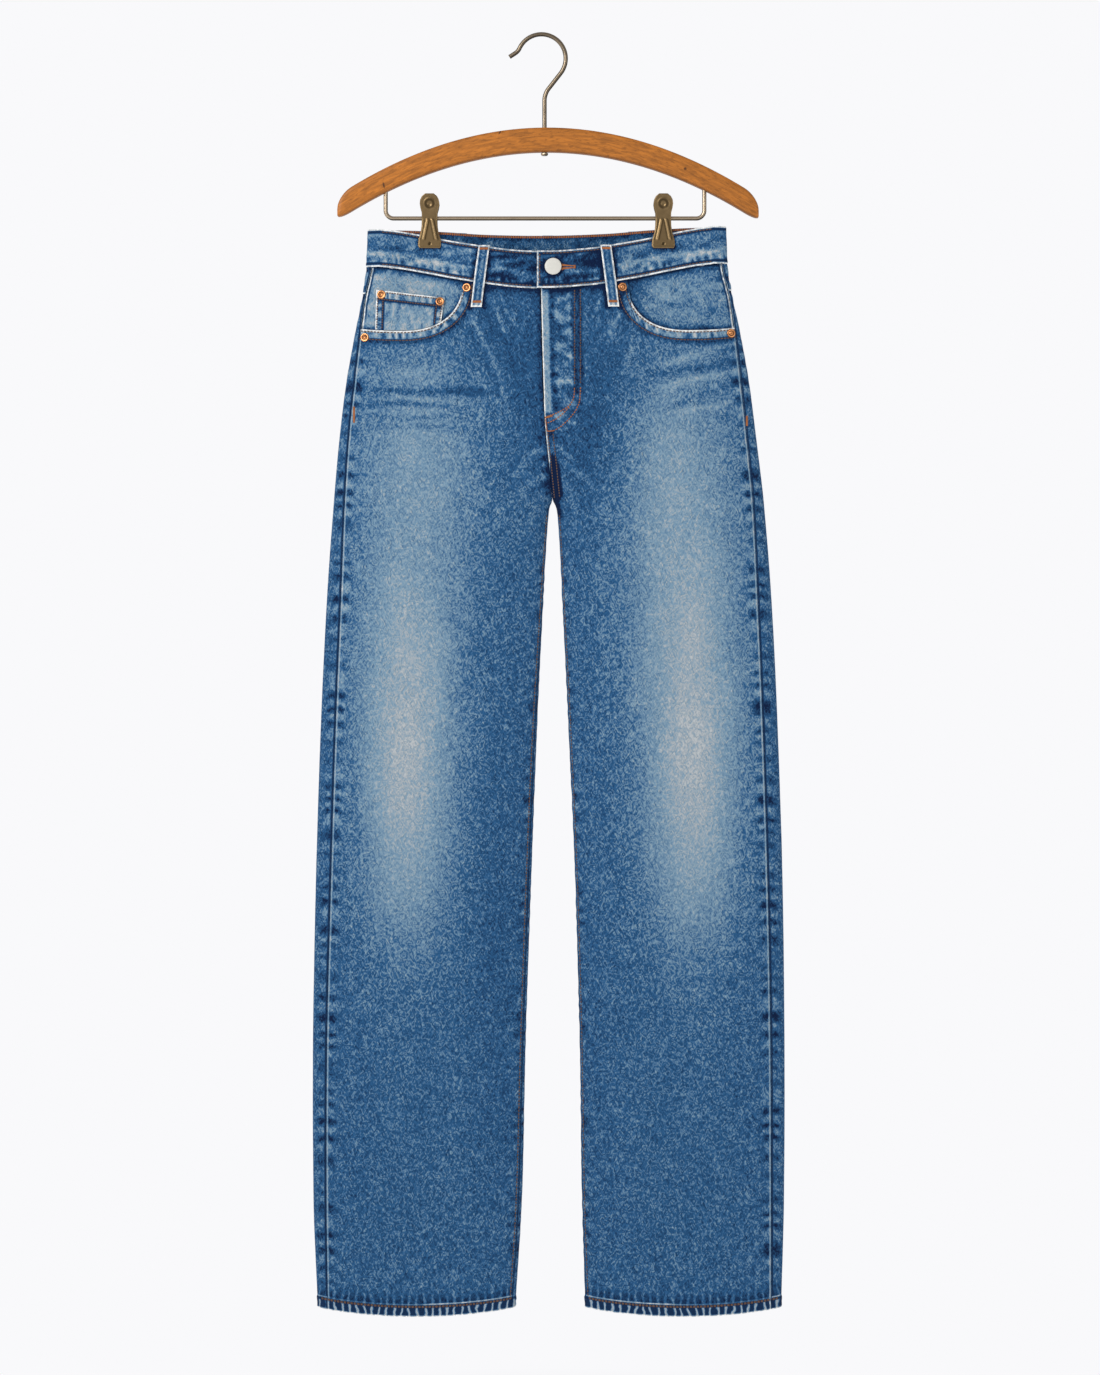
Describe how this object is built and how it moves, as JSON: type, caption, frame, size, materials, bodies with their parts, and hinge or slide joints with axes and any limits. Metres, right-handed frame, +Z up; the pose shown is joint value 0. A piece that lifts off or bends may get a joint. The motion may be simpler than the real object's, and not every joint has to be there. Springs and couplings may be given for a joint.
{
  "type": "loose fit jeans on a clip hanger",
  "caption": "Loose straight denim jeans with button waistband, curved front pockets and patch back pockets, hanging flat from an arched wooden hanger with metal clips and wire hook.",
  "frame": {"origin": "underside of the hook's crown, the point that a nail or rail carries", "axes": "+Z up along the hanging garment, -Y out of the jeans' front, +X towards the wearer's left side"},
  "size_m": [0.4717, 0.0459, 1.2817],
  "materials": {
    "denim": "washed mid blue twill, faded at the thighs, copper thread",
    "denim_facing": "washed mid blue twill, less worn",
    "button_enamel": "off-white satin",
    "copper": "copper, satin",
    "wood": "orange-brown varnish, fine grain",
    "aged_brass": "aged, dull",
    "wire": "aged bronze plating, satin"
  },
  "bodies": {
    "root": {"right_front": "denim", "left_front": "denim", "right_back": "denim", "left_back": "denim", "right_yoke": "denim", "left_yoke": "denim", "waistband": "denim", "right_pocket_facing": "denim_facing", "left_pocket_facing": "denim_facing", "coin_pocket": "denim", "right_back_pocket": "denim", "left_back_pocket": "denim", "right_front_loop": "denim", "left_front_loop": "denim", "right_back_loop": "denim", "left_back_loop": "denim", "centre_back_loop": "denim", "waist_button": "button_enamel", "right_mouth_top_rivet": "copper", "right_mouth_side_rivet": "copper", "left_mouth_top_rivet": "copper", "left_mouth_side_rivet": "copper", "coin_pocket_right_rivet": "copper", "coin_pocket_left_rivet": "copper", "hanger_bar": "wood", "hanger_hook": "wire", "hanger_stem_nut": "wire", "hanger_rod": "wire", "right_clip_front_plate": "aged_brass", "right_clip_back_plate": "aged_brass", "right_clip_barrel": "aged_brass", "left_clip_front_plate": "aged_brass", "left_clip_back_plate": "aged_brass", "left_clip_barrel": "aged_brass"}
  },
  "joints": []
}
